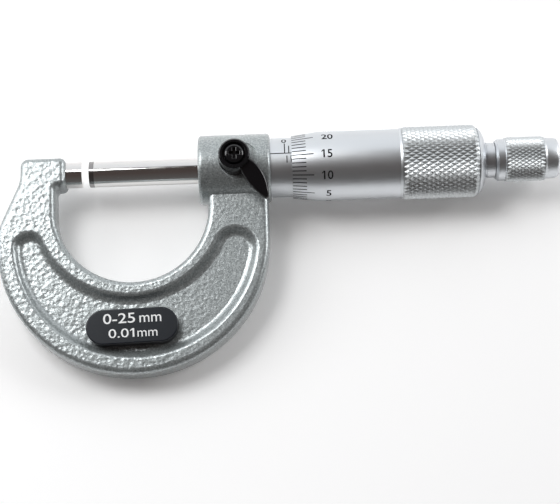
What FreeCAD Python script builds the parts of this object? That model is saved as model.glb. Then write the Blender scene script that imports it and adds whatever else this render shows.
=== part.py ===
import FreeCAD, Part
import math
import os
import Sketcher

# Outside micrometer, 0-25 mm, in millimetres. +X runs along the measuring axis from the anvil to the
# ratchet, +Y from the bow to the measuring axis, +Z out of the face that carries the lock lever and label.
# The origin is the centre of the anvil's measuring face.

V = FreeCAD.Vector

DIMENSIONS = [
    # bow of the frame
    ("frame_t", 8.0, "thickness of the frame between its flat faces"),
    ("frame_half_t", "=frame_t / 2", "height of the upper flat face"),
    ("bow_cx", 12.3, "centre of the outer arc"),
    ("bow_cy", -17.6, "centre of the outer arc"),
    ("bow_r", 32.5, "radius of the outer arc"),
    ("bow_right_x", "=bow_cx + bow_r", "outer side of the right arm"),
    ("bow_low_y", "=bow_cy - bow_r", "lowest point of the bow"),
    ("flare_x", "=bow_cx - sqrt(bow_r ^ 2 - (flare_y - bow_cy) ^ 2)", "where the arc meets the straight flare"),
    ("flare_y", -14.0, "where the arc meets the straight flare"),
    ("throat_cx", 12.0, "centre of the throat"),
    ("throat_cy", -9.6, "centre of the throat"),
    ("throat_r", 18.3, "radius of the throat"),
    ("throat_left_x", "=throat_cx - throat_r", "inner side of the left arm"),
    ("throat_right_x", "=throat_cx + throat_r", "inner side of the right arm"),
    ("throat_low_y", "=throat_cy - throat_r", "lowest point of the throat"),
    ("head_left_x", -14.75, "outer side of the anvil head"),
    ("head_top_y", 3.5, "top of the anvil head"),
    ("head_low_y", -2.0, "where the head starts to flare"),
    ("head_corner_r", 2.0, "rounded corner of the head"),
    ("nose_x", -3.85, "end of the nose around the anvil"),
    ("nose_low_y", -3.7, "underside of the nose"),
    ("nose_corner_r", 1.4, "rounded corners of the nose"),
    ("nose_root_r", 0.9, "rounded corner under the nose"),
    ("flare_soft_r", 9.0, "soft bends of the flare"),
    ("casting_edge_r", 1.4, "rounded edges of the casting"),
    # recess in both faces
    ("rim_cx", 12.85, "centre of the recess's outer wall"),
    ("rim_cy", -17.15, "centre of the recess's outer wall"),
    ("rim_r", 29.15, "radius of the recess's outer wall"),
    ("web_cx", 11.65, "centre of the recess's wall beside the throat"),
    ("web_cy", -8.7, "centre of the recess's wall beside the throat"),
    ("web_r", 22.45, "radius of the recess's wall beside the throat"),
    ("left_lobe_r", 3.74, "rounded end of the recess in the left arm"),
    ("right_lobe_r", 5.17, "rounded end of the recess in the right arm"),
    ("recess_depth", 1.6, "depth of the recess"),
    ("recess_slope", 42.0, "slope of the recess's walls, in degrees"),
    ("recess_floor_r", 1.6, "fillet at the recess's floor"),
    ("recess_lip_r", 1.2, "rounded lip of the recess"),
    # bosses and bores of the frame
    ("boss_r", 8.4, "radius of the barrel boss"),
    ("boss_left_x", 28.2, "left end of the barrel boss"),
    ("boss_right_x", 45.5, "right end of the barrel boss"),
    ("boss_edge", 0.9, "rounding of the boss's ends"),
    ("anvil_root_x", -12.0, "bottom of the anvil's bore"),
    ("anvil_shank_r", 2.9, "radius of the anvil's pressed shank and of its bore"),
    ("anvil_r", 3.175, "radius of the anvil and of the spindle"),
    ("mouth_r", 3.4, "radius of the spindle's mouth in the boss"),
    ("barrel_x", 31.0, "bottom of the bore that takes the inner sleeve"),
    ("barrel_r", 5.6, "radius of the inner sleeve and of its bore"),
    # lock seat
    ("lock_x", 37.05, "axis of the lock, which crosses the measuring axis"),
    ("spot_x", 37.9, "centre of the spot face under the lever"),
    ("spot_r", 4.7, "radius of the spot face under the lever"),
    ("spot_z", 7.0, "height of the spot face"),
    ("stem_hole_r", 2.6, "radius of the hole for the lock stem"),
    # carbide tips and spindle
    ("tip_t", 1.2, "thickness of a carbide tip"),
    ("anvil_tip_x", "=-tip_t", "joint between the anvil and its tip"),
    ("tip_edge", 0.08, "chamfer of the spindle's measuring face"),
    ("tip_land_r", "=anvil_r - tip_edge", "radius of the spindle's measuring face"),
    ("reading", 1.659, "opening between the measuring faces at rest"),
    ("spindle_land_x", "=reading + tip_edge", "end of the spindle face's chamfer"),
    ("spindle_tip_x", "=reading + tip_t", "joint between the spindle and its tip"),
    ("thread_x", 42.5, "start of the spindle's thread"),
    ("thread_r", 3.05, "mean radius of the spindle's thread"),
    ("thread_end_x", 82.0, "end of the spindle's thread"),
    ("spindle_neck_r", 2.8, "neck of the spindle behind its thread"),
    ("taper_x", 90.2, "large end of the thimble seat"),
    ("taper_big_r", 3.8, "large radius of the thimble seat"),
    ("taper_small_r", 3.3, "small radius of the thimble seat"),
    ("spindle_end_x", 95.0, "end of the spindle"),
    ("tail_hole_r", 1.6, "threaded hole in the spindle's end"),
    ("tail_hole_x", 86.0, "bottom of the threaded hole"),
    # inner sleeve and adjusting nut
    ("guide_r", 3.2, "bore that guides the spindle"),
    ("guide_end_x", 47.0, "end of the guide bore"),
    ("relief_r", 4.2, "relief between guide and nut"),
    ("nut_x", 66.0, "start of the measuring thread in the inner sleeve"),
    ("nut_r", 3.08, "mean radius of the measuring thread"),
    ("nut_end_x", 79.5, "end of the inner sleeve"),
    ("collet_x", 74.2, "start of the slotted, tapered end"),
    ("collet_r", 5.0, "radius of the slotted end"),
    ("slot_half", 0.25, "half the width of the slots in the inner sleeve's end"),
    ("slot_far_x", 90.0, "far end of the slots' cut"),
    ("slot_from_x", 70.5, "root of the slots"),
    ("adjuster_x", 75.3, "start of the adjusting nut"),
    ("adjuster_r", 6.4, "radius of the adjusting nut"),
    ("adjuster_edge_x", "=nut_end_x - 0.4", "start of the adjusting nut's chamfer"),
    ("adjuster_edge_r", "=adjuster_r - 0.4", "end of the adjusting nut's chamfer"),
    ("pad_hole_r", 1.75, "radius of the hole for the lock pad"),
    # graduated sleeve
    ("sleeve_r", 7.2, "outer radius of the graduated sleeve"),
    ("sleeve_bore_r", 5.62, "bore of the graduated sleeve"),
    ("sleeve_end_x", 75.0, "end of the graduated sleeve"),
    # thimble
    ("thimble_x", 50.65, "graduated edge of the thimble at rest"),
    ("thimble_edge_r", 7.56, "radius of the thimble's edge"),
    ("thimble_bore_r", 7.32, "bore of the thimble"),
    ("bevel_x", 57.1, "end of the thimble's bevel"),
    ("thimble_r", 8.39, "radius of the thimble"),
    ("grip_step_x", 76.6, "end of the smooth thimble"),
    ("grip_x", 77.2, "start of the knurled grip"),
    ("grip_r", 8.75, "radius of the knurled grip"),
    ("grip_round_x", 94.4, "start of the grip's rounded end"),
    ("grip_round_r", 4.6, "radius of the grip's rounded end"),
    ("thimble_end_x", 97.2, "end of the thimble"),
    ("thimble_end_r", 4.7, "radius of the thimble's flat end"),
    ("cavity_end_x", 90.0, "end of the thimble's cavity"),
    ("seat_gap", 0.01, "clearance of the tapered seat"),
    ("seat_big_r", "=taper_big_r + seat_gap", "large radius of the tapered seat"),
    ("seat_small_r", "=taper_small_r + seat_gap", "small radius of the tapered seat"),
    ("washer_r", 3.1, "radius of the washer behind the spindle"),
    ("washer_bore_r", 1.7, "bore of the washer"),
    ("washer_end_x", 95.4, "end of the washer"),
    # ratchet stop
    ("shank_r", 1.55, "radius of the ratchet body's threaded shank"),
    ("shank_x", 87.0, "tip of the threaded shank"),
    ("flange_r", 3.2, "radius of the body inside the thimble"),
    ("groove_r", 3.95, "radius of the groove beside the thimble"),
    ("groove_end_x", 97.7, "end of that groove"),
    ("neck_r", 4.23, "radius of the neck"),
    ("neck_end_x", 99.6, "end of the neck"),
    ("journal_r", 3.25, "journal inside the retaining ring"),
    ("journal_end_x", 102.2, "end of the journal"),
    ("axle_r", 2.0, "axle of the ratchet discs"),
    ("axle_end_x", 110.4, "end of the axle"),
    ("ring_x", 99.75, "start of the retaining ring"),
    ("ring_edge_r", 4.5, "small radius of the ring's chamfer"),
    ("ring_edge_x", 100.35, "end of the ring's chamfer"),
    ("ring_r", 5.05, "radius of the retaining ring"),
    ("ring_bore_r", 3.3, "bore of the retaining ring"),
    ("knob_x", 101.9, "start of the ratchet knob"),
    ("knob_grip_x", 102.25, "start of the knob's knurl"),
    ("knob_r", 5.4, "radius of the knob's knurl"),
    ("knob_grip_end_x", 111.4, "end of the knob's knurl"),
    ("knob_cone_x", 112.0, "start of the knob's smooth end"),
    ("knob_cone_r", 4.95, "radius where the smooth end starts"),
    ("knob_round_x", 114.3, "start of the knob's rounded end"),
    ("knob_round_r", 4.78, "radius where the rounding starts"),
    ("knob_end_x", 114.9, "end of the knob"),
    ("knob_end_r", 4.18, "radius of the knob's flat end"),
    ("knob_cavity_r", 4.3, "radius of the knob's cavity"),
    ("knob_cavity_x", 111.2, "end of the knob's cavity"),
    ("wheel_x", 102.3, "start of the ratchet wheel"),
    ("wheel_end_x", 104.3, "tips of the wheel's teeth"),
    ("wheel_root_x", "=wheel_end_x - tooth_h", "roots of the wheel's teeth"),
    ("wheel_r", 4.1, "radius of the ratchet wheel"),
    ("pawl_x", 103.85, "tips of the pawl disc's teeth"),
    ("pawl_root_x", "=pawl_x + tooth_h", "roots of the pawl disc's teeth"),
    ("pawl_end_x", 106.3, "end of the pawl disc"),
    ("pawl_r", 4.2, "radius of the pawl disc"),
    ("pawl_bore_r", 2.1, "bore of the pawl disc"),
    ("tooth_h", 0.5, "height of the crown teeth"),
    ("tooth_hub_r", 2.6, "inner radius of the crown teeth"),
    ("tooth_far_r", 5.5, "outer end of the cut between crown teeth"),
    ("tooth_gap", 8.5, "half the angle of a gap between crown teeth, in degrees"),
    ("gap_near_y", "=(tooth_hub_r - 0.4) * cos(tooth_gap)", "corner of a gap"),
    ("gap_near_z", "=(tooth_hub_r - 0.4) * sin(tooth_gap)", "corner of a gap"),
    ("gap_far_y", "=tooth_far_r * cos(tooth_gap)", "corner of a gap"),
    ("gap_far_z", "=tooth_far_r * sin(tooth_gap)", "corner of a gap"),
    ("tooth_count", 12, "number of crown teeth"),
    ("tooth_phase", 15.0, "turn of the pawl disc that meshes it with the wheel, in degrees"),
    ("coil_r", 3.1, "mean radius of the ratchet spring"),
    ("coil_wire_r", 0.3, "radius of the spring's wire"),
    ("coil_x", 106.65, "first turn of the spring"),
    ("coil_length", 4.2, "height of the spring's helix"),
    ("coil_pitch", 1.05, "pitch of the spring"),
    # lock
    ("pad_r", 1.7, "radius of the lock pad"),
    ("pad_low_z", 3.26, "foot of the lock pad"),
    ("pad_top_z", 5.6, "top of the lock pad"),
    ("stem_r", 2.55, "radius of the lock stem in the frame"),
    ("stem_low_z", 5.7, "foot of the lock stem"),
    ("stem_neck_r", 2.2, "radius of the stem inside the lever"),
    ("stem_top_z", 10.4, "top of the stem"),
    ("stem_tap_r", 1.0, "radius of the stem's threaded hole"),
    ("stem_tap_z", 7.6, "bottom of the stem's threaded hole"),
    ("hub_r", 3.7, "radius of the lever's hub"),
    ("hub_low_z", 7.05, "foot of the hub"),
    ("hub_top_z", 12.6, "top of the hub"),
    ("hub_edge", 0.35, "chamfer of the hub"),
    ("hub_edge_r", "=hub_r - hub_edge", "top radius of the hub"),
    ("hub_edge_z", "=hub_top_z - hub_edge", "start of the hub's chamfer"),
    ("hub_socket_r", 2.8, "radius of the counterbore for the screw's head"),
    ("hub_socket_z", 11.5, "floor of the counterbore"),
    ("hub_screw_r", 1.15, "radius of the screw's hole in the hub"),
    ("lever_low_z", 8.62, "underside of the lever's arm"),
    ("lever_top_z", 11.5, "top of the lever's arm at its root"),
    ("lever_tip_z", 9.5, "top of the lever's arm at its tip"),
    ("lever_turn", 30.0, "direction of the arm from -Y towards +X, in degrees"),
    ("lever_fold_t", 3.6, "end of the level part of the arm's top, along the arm"),
    ("lever_far_t", 14.0, "end of the arm's sloping top, along the arm"),
    ("lever_clear_z", 13.5, "top of the cut above the arm"),
    ("lever_side_x", 3.3, "where the arm's upper edge leaves the hub, from the lock's axis"),
    ("lever_side_y", -0.6, "where the arm's upper edge leaves the hub"),
    ("lever_tip_x", 7.75, "tip of the lever, from the lock's axis"),
    ("lever_tip_y", -10.75, "tip of the lever"),
    ("lever_back_x", 1.0, "where the arm's lower edge leaves the hub, from the lock's axis"),
    ("lever_back_y", -2.6, "where the arm's lower edge leaves the hub"),
    ("lever_out_r", 10.2, "radius of the arm's upper edge"),
    ("lever_in_r", 15.0, "radius of the arm's lower edge"),
    ("lever_edge_r", 0.6, "rounded top edge of the arm"),
    ("lever_point_r", 0.6, "rounded point of the arm"),
    ("stem_socket_z", "=stem_top_z + 0.1", "end of the stem's bore in the hub"),
    ("screw_head_r", 2.45, "radius of the screw's head"),
    ("screw_rim_z", 12.1, "rim of the screw's head"),
    ("screw_top_z", 12.75, "flat top of the screw's head"),
    ("screw_flat_r", 1.75, "radius of the head's flat top"),
    ("screw_dome_r", 1.0, "radius of the head's dome"),
    ("screw_low_z", 8.0, "tip of the screw"),
    ("screw_shank_r", 0.95, "radius of the screw's shank"),
    ("cross_arm", 1.3, "half the length of the cross recess"),
    ("cross_half", 0.4, "half the width of the cross recess"),
    ("cross_depth", 0.85, "depth of the cross recess"),
    ("cross_edge_r", 0.12, "rounded edge of the cross recess"),
    # label
    ("label_l", 21.6, "length of the label"),
    ("label_w", 8.3, "width of the label"),
    ("label_t", 3.1, "thickness of the label"),
    ("label_x", 11.9, "centre of the label"),
    ("label_y", -39.0, "centre of the label"),
    ("label_turn", 1.4, "turn of the label in its recess, in degrees"),
    ("label_half_w", "=label_w / 2", "half the width of the label"),
    ("label_round", "=label_half_w + 0.02", "radius of the label's ends"),
    ("label_flat_x", "=label_l / 2 - label_round + sqrt(label_round ^ 2 - label_half_w ^ 2)", "end of a straight side"),
    ("label_edge", 0.3, "rounded edge of the label"),
]

doc = FreeCAD.newDocument("outside_micrometer")
sheet = doc.addObject("Spreadsheet::Sheet", "dims")
for row, (alias, amount, meaning) in enumerate(DIMENSIONS, start=1):
    sheet.set(f"A{row}", meaning)
    sheet.set(f"B{row}", str(amount))
    sheet.setAlias(f"B{row}", alias)
doc.recompute()


def size(alias):
    """Value of a cell, where None stands for zero and a leading minus negates."""
    if alias is None:
        return 0.0
    if alias.startswith("-"):
        return -float(sheet.get(alias[1:]))
    return float(sheet.get(alias))


def cell(alias):
    """Expression that reads a cell."""
    if alias.startswith("-"):
        return "-dims." + alias[1:]
    return "dims." + alias


def origin_plane(body, role):
    return next(item for item in body.Origin.OriginFeatures if item.Role == role)


def new_body(label):
    body = doc.addObject("PartDesign::Body", label)
    body.Label = label
    return body


def new_sketch(body, name, role, height=None):
    """Sketch on one of the body's origin planes, raised along its normal by a cell."""
    sketch = body.newObject("Sketcher::SketchObject", name)
    sketch.AttachmentSupport = [(origin_plane(body, role), "")]
    sketch.MapMode = "FlatFace"
    if height:
        sketch.setExpression("AttachmentOffset.Base.z", cell(height))
    return sketch


def bind(sketch, index, expression):
    name = f"size_{index}"
    sketch.renameConstraint(index, name)
    sketch.setExpression("Constraints." + name, expression)


def pin_point(sketch, geometry, end, corner):
    """Hold a point of the sketch at a pair of cells."""
    for kind, axis, alias in (("DistanceX", -2, corner[0]), ("DistanceY", -1, corner[1])):
        if alias is None:
            sketch.addConstraint(Sketcher.Constraint("PointOnObject", geometry, end, axis))
        else:
            index = sketch.addConstraint(Sketcher.Constraint(kind, -1, 1, geometry, end, size(alias)))
            bind(sketch, index, cell(alias))


def arc_between(start, end, radius, bulge):
    """Arc from start to end, its centre on the left for bulge 1 and on the right for bulge -1.

    Returns the arc and whether it runs backwards, since arcs are stored counter-clockwise.
    """
    chord = end - start
    side = V(-chord.y, chord.x, 0).normalize()
    sagitta_side = math.sqrt(max(radius ** 2 - (chord.Length / 2) ** 2, 0))
    centre = (start + end) / 2 + side * sagitta_side * bulge
    first, last = (start, end) if bulge > 0 else (end, start)
    angles = [math.atan2(point.y - centre.y, point.x - centre.x) for point in (first, last)]
    if angles[1] < angles[0]:
        angles[1] += 2 * math.pi
    circle = Part.Circle(centre, V(0, 0, 1), radius)
    return Part.ArcOfCircle(circle, angles[0], angles[1]), bulge < 0


def draw_outline(sketch, corners, arcs=None):
    """Closed outline through corners given as pairs of cells.

    arcs maps a side's number to (radius cell, bulge); every other side is straight.
    """
    arcs = arcs or {}
    points = [V(size(x), size(y), 0) for x, y in corners]
    count = len(points)
    ends = []
    for side in range(count):
        start, end = points[side], points[(side + 1) % count]
        if side in arcs:
            radius, bulge = arcs[side]
            curve, backwards = arc_between(start, end, size(radius), bulge)
            geometry = sketch.addGeometry(curve, False)
            ends.append((geometry, 2, 1) if backwards else (geometry, 1, 2))
        else:
            geometry = sketch.addGeometry(Part.LineSegment(start, end), False)
            ends.append((geometry, 1, 2))
    for side in range(count):
        geometry, _, last = ends[side]
        follower, first, _ = ends[(side + 1) % count]
        sketch.addConstraint(Sketcher.Constraint("Coincident", geometry, last, follower, first))
    for side, corner in enumerate(corners):
        pin_point(sketch, ends[side][0], ends[side][1], corner)
    for side, (radius, _) in arcs.items():
        index = sketch.addConstraint(Sketcher.Constraint("Radius", ends[side][0], size(radius)))
        bind(sketch, index, cell(radius))


def revolve(body, name, corners, arcs=None, along="X", cut=False):
    """Turned feature: corners are (along, radius) about X, or (radius, along) about Z."""
    role, axis = ("XY_Plane", "H_Axis") if along == "X" else ("XZ_Plane", "V_Axis")
    sketch = new_sketch(body, name + "_profile", role)
    draw_outline(sketch, corners, arcs)
    kind = "PartDesign::Groove" if cut else "PartDesign::Revolution"
    feature = body.newObject(kind, name)
    feature.Profile = sketch
    feature.ReferenceAxis = (sketch, [axis])
    feature.Angle = 360
    return feature


def turned(label, corners, arcs=None, along="X"):
    body = new_body(label)
    revolve(body, label + "_turning", corners, arcs, along)
    return body


def disc_sketch(body, name, role, height, centre, radius):
    sketch = new_sketch(body, name, role, height)
    place = V(size(centre[0]), size(centre[1]), 0)
    sketch.addGeometry(Part.Circle(place, V(0, 0, 1), size(radius)), False)
    pin_point(sketch, 0, 3, centre)
    bind(sketch, sketch.addConstraint(Sketcher.Constraint("Radius", 0, size(radius))), cell(radius))
    return sketch


def pocket(body, name, sketch, depth=None, backwards=False):
    """Cut along the sketch's normal: a blind depth in a cell, or everything."""
    feature = body.newObject("PartDesign::Pocket", name)
    feature.Profile = sketch
    feature.Reversed = backwards
    if depth:
        feature.setExpression("Length", cell(depth))
    else:
        feature.Length = 60
    return feature


def fillet(body, name, radius, wanted):
    """Round the edges of the body's tip that the test accepts."""
    doc.recompute()
    base = body.Tip
    names = [f"Edge{i}" for i, edge in enumerate(base.Shape.Edges, start=1) if wanted(edge)]
    feature = body.newObject("PartDesign::Fillet", name)
    feature.Base = (base, names)
    feature.setExpression("Radius", cell(radius))
    doc.recompute()
    return feature


def ends_of(edge):
    return [vertex.Point for vertex in edge.Vertexes]


def is_upright(edge):
    """Straight edge along Z."""
    points = ends_of(edge)
    return len(points) == 2 and abs(points[0].x - points[1].x) + abs(points[0].y - points[1].y) < 1e-5


def lies_at(edge, height):
    """Edge in a plane of constant |z|."""
    box = edge.BoundBox
    return abs(abs(box.ZMin) - height) < 1e-4 and abs(box.ZMax - box.ZMin) < 1e-4


# ---------------------------------------------------------------- frame casting
frame = new_body("frame")
blank = new_sketch(frame, "frame_outline", "XY_Plane")
draw_outline(
    blank,
    [
        ("head_left_x", "head_top_y"),
        ("head_left_x", "head_low_y"),
        ("flare_x", "flare_y"),
        ("bow_cx", "bow_low_y"),
        ("bow_right_x", "bow_cy"),
        ("bow_right_x", None),
        ("throat_right_x", None),
        ("throat_right_x", "throat_cy"),
        ("throat_cx", "throat_low_y"),
        ("throat_left_x", "throat_cy"),
        ("throat_left_x", "nose_low_y"),
        ("nose_x", "nose_low_y"),
        ("nose_x", "head_top_y"),
    ],
    {2: ("bow_r", 1), 3: ("bow_r", 1), 7: ("throat_r", -1), 8: ("throat_r", -1)},
)
slab = frame.newObject("PartDesign::Pad", "frame_slab")
slab.Profile = blank
slab.SideType = "Symmetric"
slab.setExpression("Length", "dims.frame_t")


def head_corner(edge):
    middle = edge.CenterOfMass
    at_left = abs(middle.x - size("head_left_x")) < 1e-4
    return is_upright(edge) and at_left and abs(middle.y - size("head_top_y")) < 1e-4


def nose_corner(edge):
    return is_upright(edge) and abs(edge.CenterOfMass.x - size("nose_x")) < 1e-4


def nose_root(edge):
    middle = edge.CenterOfMass
    at_arm = abs(middle.x - size("throat_left_x")) < 1e-4
    return is_upright(edge) and at_arm and abs(middle.y - size("nose_low_y")) < 1e-4


def soft_bend(edge):
    middle = edge.CenterOfMass
    at_head = abs(middle.y - size("head_low_y")) < 1e-4 and middle.x < size("head_left_x") + 0.1
    at_flare = abs(middle.y - size("flare_y")) < 1e-4 and middle.x < 0
    return is_upright(edge) and (at_head or at_flare)


fillet(frame, "head_corner_round", "head_corner_r", head_corner)
fillet(frame, "nose_corner_round", "nose_corner_r", nose_corner)
fillet(frame, "nose_root_round", "nose_root_r", nose_root)
fillet(frame, "flare_round", "flare_soft_r", soft_bend)


def recess_outline(sketch):
    """Crescent: outer arc, arc beside the throat and two tangent lobes."""
    rim = V(size("rim_cx"), size("rim_cy"), 0)
    web = V(size("web_cx"), size("web_cy"), 0)
    lobes = []
    for alias, sign in (("left_lobe_r", -1), ("right_lobe_r", 1)):
        lobe_r = size(alias)
        to_rim, to_web = size("rim_r") - lobe_r, size("web_r") + lobe_r
        gap = (web - rim).Length
        along = (to_rim ** 2 - to_web ** 2 + gap ** 2) / (2 * gap)
        across = math.sqrt(to_rim ** 2 - along ** 2)
        axis = (web - rim) / gap
        centre = rim + axis * along + V(axis.y, -axis.x, 0) * across * sign
        lobes.append((centre, lobe_r))

    def touch(centre, target, distance):
        return centre + (target - centre).normalize() * distance

    def span(centre, radius, first, last):
        start = math.atan2(first.y - centre.y, first.x - centre.x)
        stop = math.atan2(last.y - centre.y, last.x - centre.x)
        if stop < start:
            stop += 2 * math.pi
        return Part.ArcOfCircle(Part.Circle(centre, V(0, 0, 1), radius), start, stop)

    (left, left_r), (right, right_r) = lobes
    left_rim, right_rim = touch(rim, left, size("rim_r")), touch(rim, right, size("rim_r"))
    left_web, right_web = touch(web, left, size("web_r")), touch(web, right, size("web_r"))
    arcs = [
        (span(rim, size("rim_r"), left_rim, right_rim), "rim_r"),
        (span(right, right_r, right_rim, right_web), "right_lobe_r"),
        (span(web, size("web_r"), left_web, right_web), "web_r"),
        (span(left, left_r, left_web, left_rim), "left_lobe_r"),
    ]
    for curve, _ in arcs:
        sketch.addGeometry(curve, False)
    for first, first_end, last, last_end in ((0, 2, 1, 1), (1, 2, 2, 2), (2, 1, 3, 1), (3, 2, 0, 1)):
        sketch.addConstraint(Sketcher.Constraint("Tangent", first, first_end, last, last_end))
    pin_point(sketch, 0, 3, ("rim_cx", "rim_cy"))
    pin_point(sketch, 2, 3, ("web_cx", "web_cy"))
    for geometry, (_, radius) in enumerate(arcs):
        index = sketch.addConstraint(Sketcher.Constraint("Radius", geometry, size(radius)))
        bind(sketch, index, cell(radius))


crescent = new_sketch(frame, "recess_outline", "XY_Plane", "frame_half_t")
recess_outline(crescent)
recess = pocket(frame, "recess", crescent, "recess_depth")
recess.setExpression("TaperAngle", "-dims.recess_slope")
both_recesses = frame.newObject("PartDesign::Mirrored", "recess_both_faces")
both_recesses.Originals = [recess]
both_recesses.MirrorPlane = (origin_plane(frame, "XY_Plane"), [""])
frame.Tip = both_recesses

floor_z = size("frame_half_t") - size("recess_depth")


def recess_floor_edge(edge):
    return lies_at(edge, floor_z)


def middle_of(edge):
    return edge.valueAt((edge.FirstParameter + edge.LastParameter) / 2)


def inside_recess(point, slack):
    from_rim = math.hypot(point.x - size("rim_cx"), point.y - size("rim_cy"))
    from_web = math.hypot(point.x - size("web_cx"), point.y - size("web_cy"))
    return from_rim < size("rim_r") + slack and from_web > size("web_r") - slack and point.y < size("flare_y")


def recess_lip_edge(edge):
    return lies_at(edge, size("frame_half_t")) and inside_recess(middle_of(edge), 0.05)


def casting_edge(edge):
    """Every edge of the flat faces but the recess's lips and the root of the boss."""
    middle = middle_of(edge)
    at_boss = abs(middle.y) < 1e-3 and middle.x > size("throat_cx")
    return lies_at(edge, size("frame_half_t")) and not at_boss and not inside_recess(middle, 0.8)


fillet(frame, "recess_floor_round", "recess_floor_r", recess_floor_edge)
fillet(frame, "recess_lip_round", "recess_lip_r", recess_lip_edge)
fillet(frame, "casting_round", "casting_edge_r", casting_edge)

revolve(
    frame,
    "barrel_boss",
    [
        ("boss_left_x", None),
        ("boss_right_x", None),
        ("boss_right_x", "boss_r"),
        ("boss_left_x", "boss_r"),
    ],
)


def is_rim(edge, station, radius):
    """Circle about the measuring axis at a station along it."""
    box, middle = edge.BoundBox, middle_of(edge)
    at_station = max(abs(box.XMin - size(station)), abs(box.XMax - size(station))) < 1e-3
    return at_station and abs(math.hypot(middle.y, middle.z) - size(radius)) < 1e-3


def boss_rim(edge):
    return is_rim(edge, "boss_left_x", "boss_r") or is_rim(edge, "boss_right_x", "boss_r")


fillet(frame, "boss_round", "boss_edge", boss_rim)
revolve(
    frame,
    "anvil_bore",
    [
        ("anvil_root_x", None),
        ("reading", None),
        ("reading", "anvil_shank_r"),
        ("anvil_root_x", "anvil_shank_r"),
    ],
    cut=True,
)
revolve(
    frame,
    "barrel_bore",
    [
        ("reading", None),
        ("nut_end_x", None),
        ("nut_end_x", "barrel_r"),
        ("barrel_x", "barrel_r"),
        ("barrel_x", "mouth_r"),
        ("reading", "mouth_r"),
    ],
    cut=True,
)
spot = disc_sketch(frame, "spot_circle", "XY_Plane", "spot_z", ("spot_x", None), "spot_r")
pocket(frame, "spot_face", spot, backwards=True)
stem_hole = disc_sketch(frame, "stem_circle", "XY_Plane", None, ("lock_x", None), "stem_hole_r")
pocket(frame, "stem_hole", stem_hole, backwards=True)

# ---------------------------------------------------------------- measuring faces and spindle
turned(
    "anvil",
    [
        ("anvil_root_x", None),
        ("anvil_tip_x", None),
        ("anvil_tip_x", "anvil_r"),
        ("nose_x", "anvil_r"),
        ("nose_x", "anvil_shank_r"),
        ("anvil_root_x", "anvil_shank_r"),
    ],
)
turned(
    "anvil_tip",
    [
        ("anvil_tip_x", None),
        (None, None),
        (None, "anvil_r"),
        ("anvil_tip_x", "anvil_r"),
    ],
)
turned(
    "spindle_tip",
    [
        ("reading", None),
        ("spindle_tip_x", None),
        ("spindle_tip_x", "anvil_r"),
        ("spindle_land_x", "anvil_r"),
        ("reading", "tip_land_r"),
    ],
)
turned(
    "spindle",
    [
        ("spindle_tip_x", None),
        ("tail_hole_x", None),
        ("tail_hole_x", "tail_hole_r"),
        ("spindle_end_x", "tail_hole_r"),
        ("spindle_end_x", "taper_small_r"),
        ("taper_x", "taper_big_r"),
        ("taper_x", "spindle_neck_r"),
        ("thread_end_x", "spindle_neck_r"),
        ("thread_end_x", "thread_r"),
        ("thread_x", "thread_r"),
        ("thread_x", "anvil_r"),
        ("spindle_tip_x", "anvil_r"),
    ],
)

# ---------------------------------------------------------------- barrel
inner_sleeve = turned(
    "inner_sleeve",
    [
        ("barrel_x", "guide_r"),
        ("guide_end_x", "guide_r"),
        ("guide_end_x", "relief_r"),
        ("nut_x", "relief_r"),
        ("nut_x", "nut_r"),
        ("nut_end_x", "nut_r"),
        ("nut_end_x", "collet_r"),
        ("collet_x", "collet_r"),
        ("collet_x", "barrel_r"),
        ("barrel_x", "barrel_r"),
    ],
)
pad_hole = disc_sketch(inner_sleeve, "pad_circle", "XY_Plane", None, ("lock_x", None), "pad_hole_r")
pocket(inner_sleeve, "pad_hole", pad_hole, backwards=True)
slot = new_sketch(inner_sleeve, "slot_outline", "XY_Plane")
draw_outline(
    slot,
    [
        ("slot_from_x", "-slot_half"),
        ("slot_far_x", "-slot_half"),
        ("slot_far_x", "slot_half"),
        ("slot_from_x", "slot_half"),
    ],
)
slot_cut = pocket(inner_sleeve, "collet_slot", slot, backwards=True)
slots = inner_sleeve.newObject("PartDesign::PolarPattern", "collet_slots")
slots.Originals = [slot_cut]
slots.Axis = (origin_plane(inner_sleeve, "X_Axis"), [""])
slots.Angle = 360
slots.Occurrences = 3
inner_sleeve.Tip = slots

turned(
    "adjusting_nut",
    [
        ("adjuster_x", "collet_r"),
        ("nut_end_x", "collet_r"),
        ("nut_end_x", "adjuster_edge_r"),
        ("adjuster_edge_x", "adjuster_r"),
        ("adjuster_x", "adjuster_r"),
    ],
)
turned(
    "sleeve",
    [
        ("boss_right_x", "sleeve_bore_r"),
        ("sleeve_end_x", "sleeve_bore_r"),
        ("sleeve_end_x", "sleeve_r"),
        ("boss_right_x", "sleeve_r"),
    ],
)

# ---------------------------------------------------------------- thimble
turned(
    "thimble",
    [
        ("thimble_x", "thimble_bore_r"),
        ("cavity_end_x", "thimble_bore_r"),
        ("cavity_end_x", "seat_big_r"),
        ("taper_x", "seat_big_r"),
        ("spindle_end_x", "seat_small_r"),
        ("thimble_end_x", "seat_small_r"),
        ("thimble_end_x", "thimble_end_r"),
        ("grip_round_x", "grip_r"),
        ("grip_x", "grip_r"),
        ("grip_step_x", "thimble_r"),
        ("bevel_x", "thimble_r"),
        ("thimble_x", "thimble_edge_r"),
    ],
    {6: ("grip_round_r", 1)},
)
turned(
    "seat_washer",
    [
        ("spindle_end_x", "washer_bore_r"),
        ("washer_end_x", "washer_bore_r"),
        ("washer_end_x", "washer_r"),
        ("spindle_end_x", "washer_r"),
    ],
)

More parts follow.
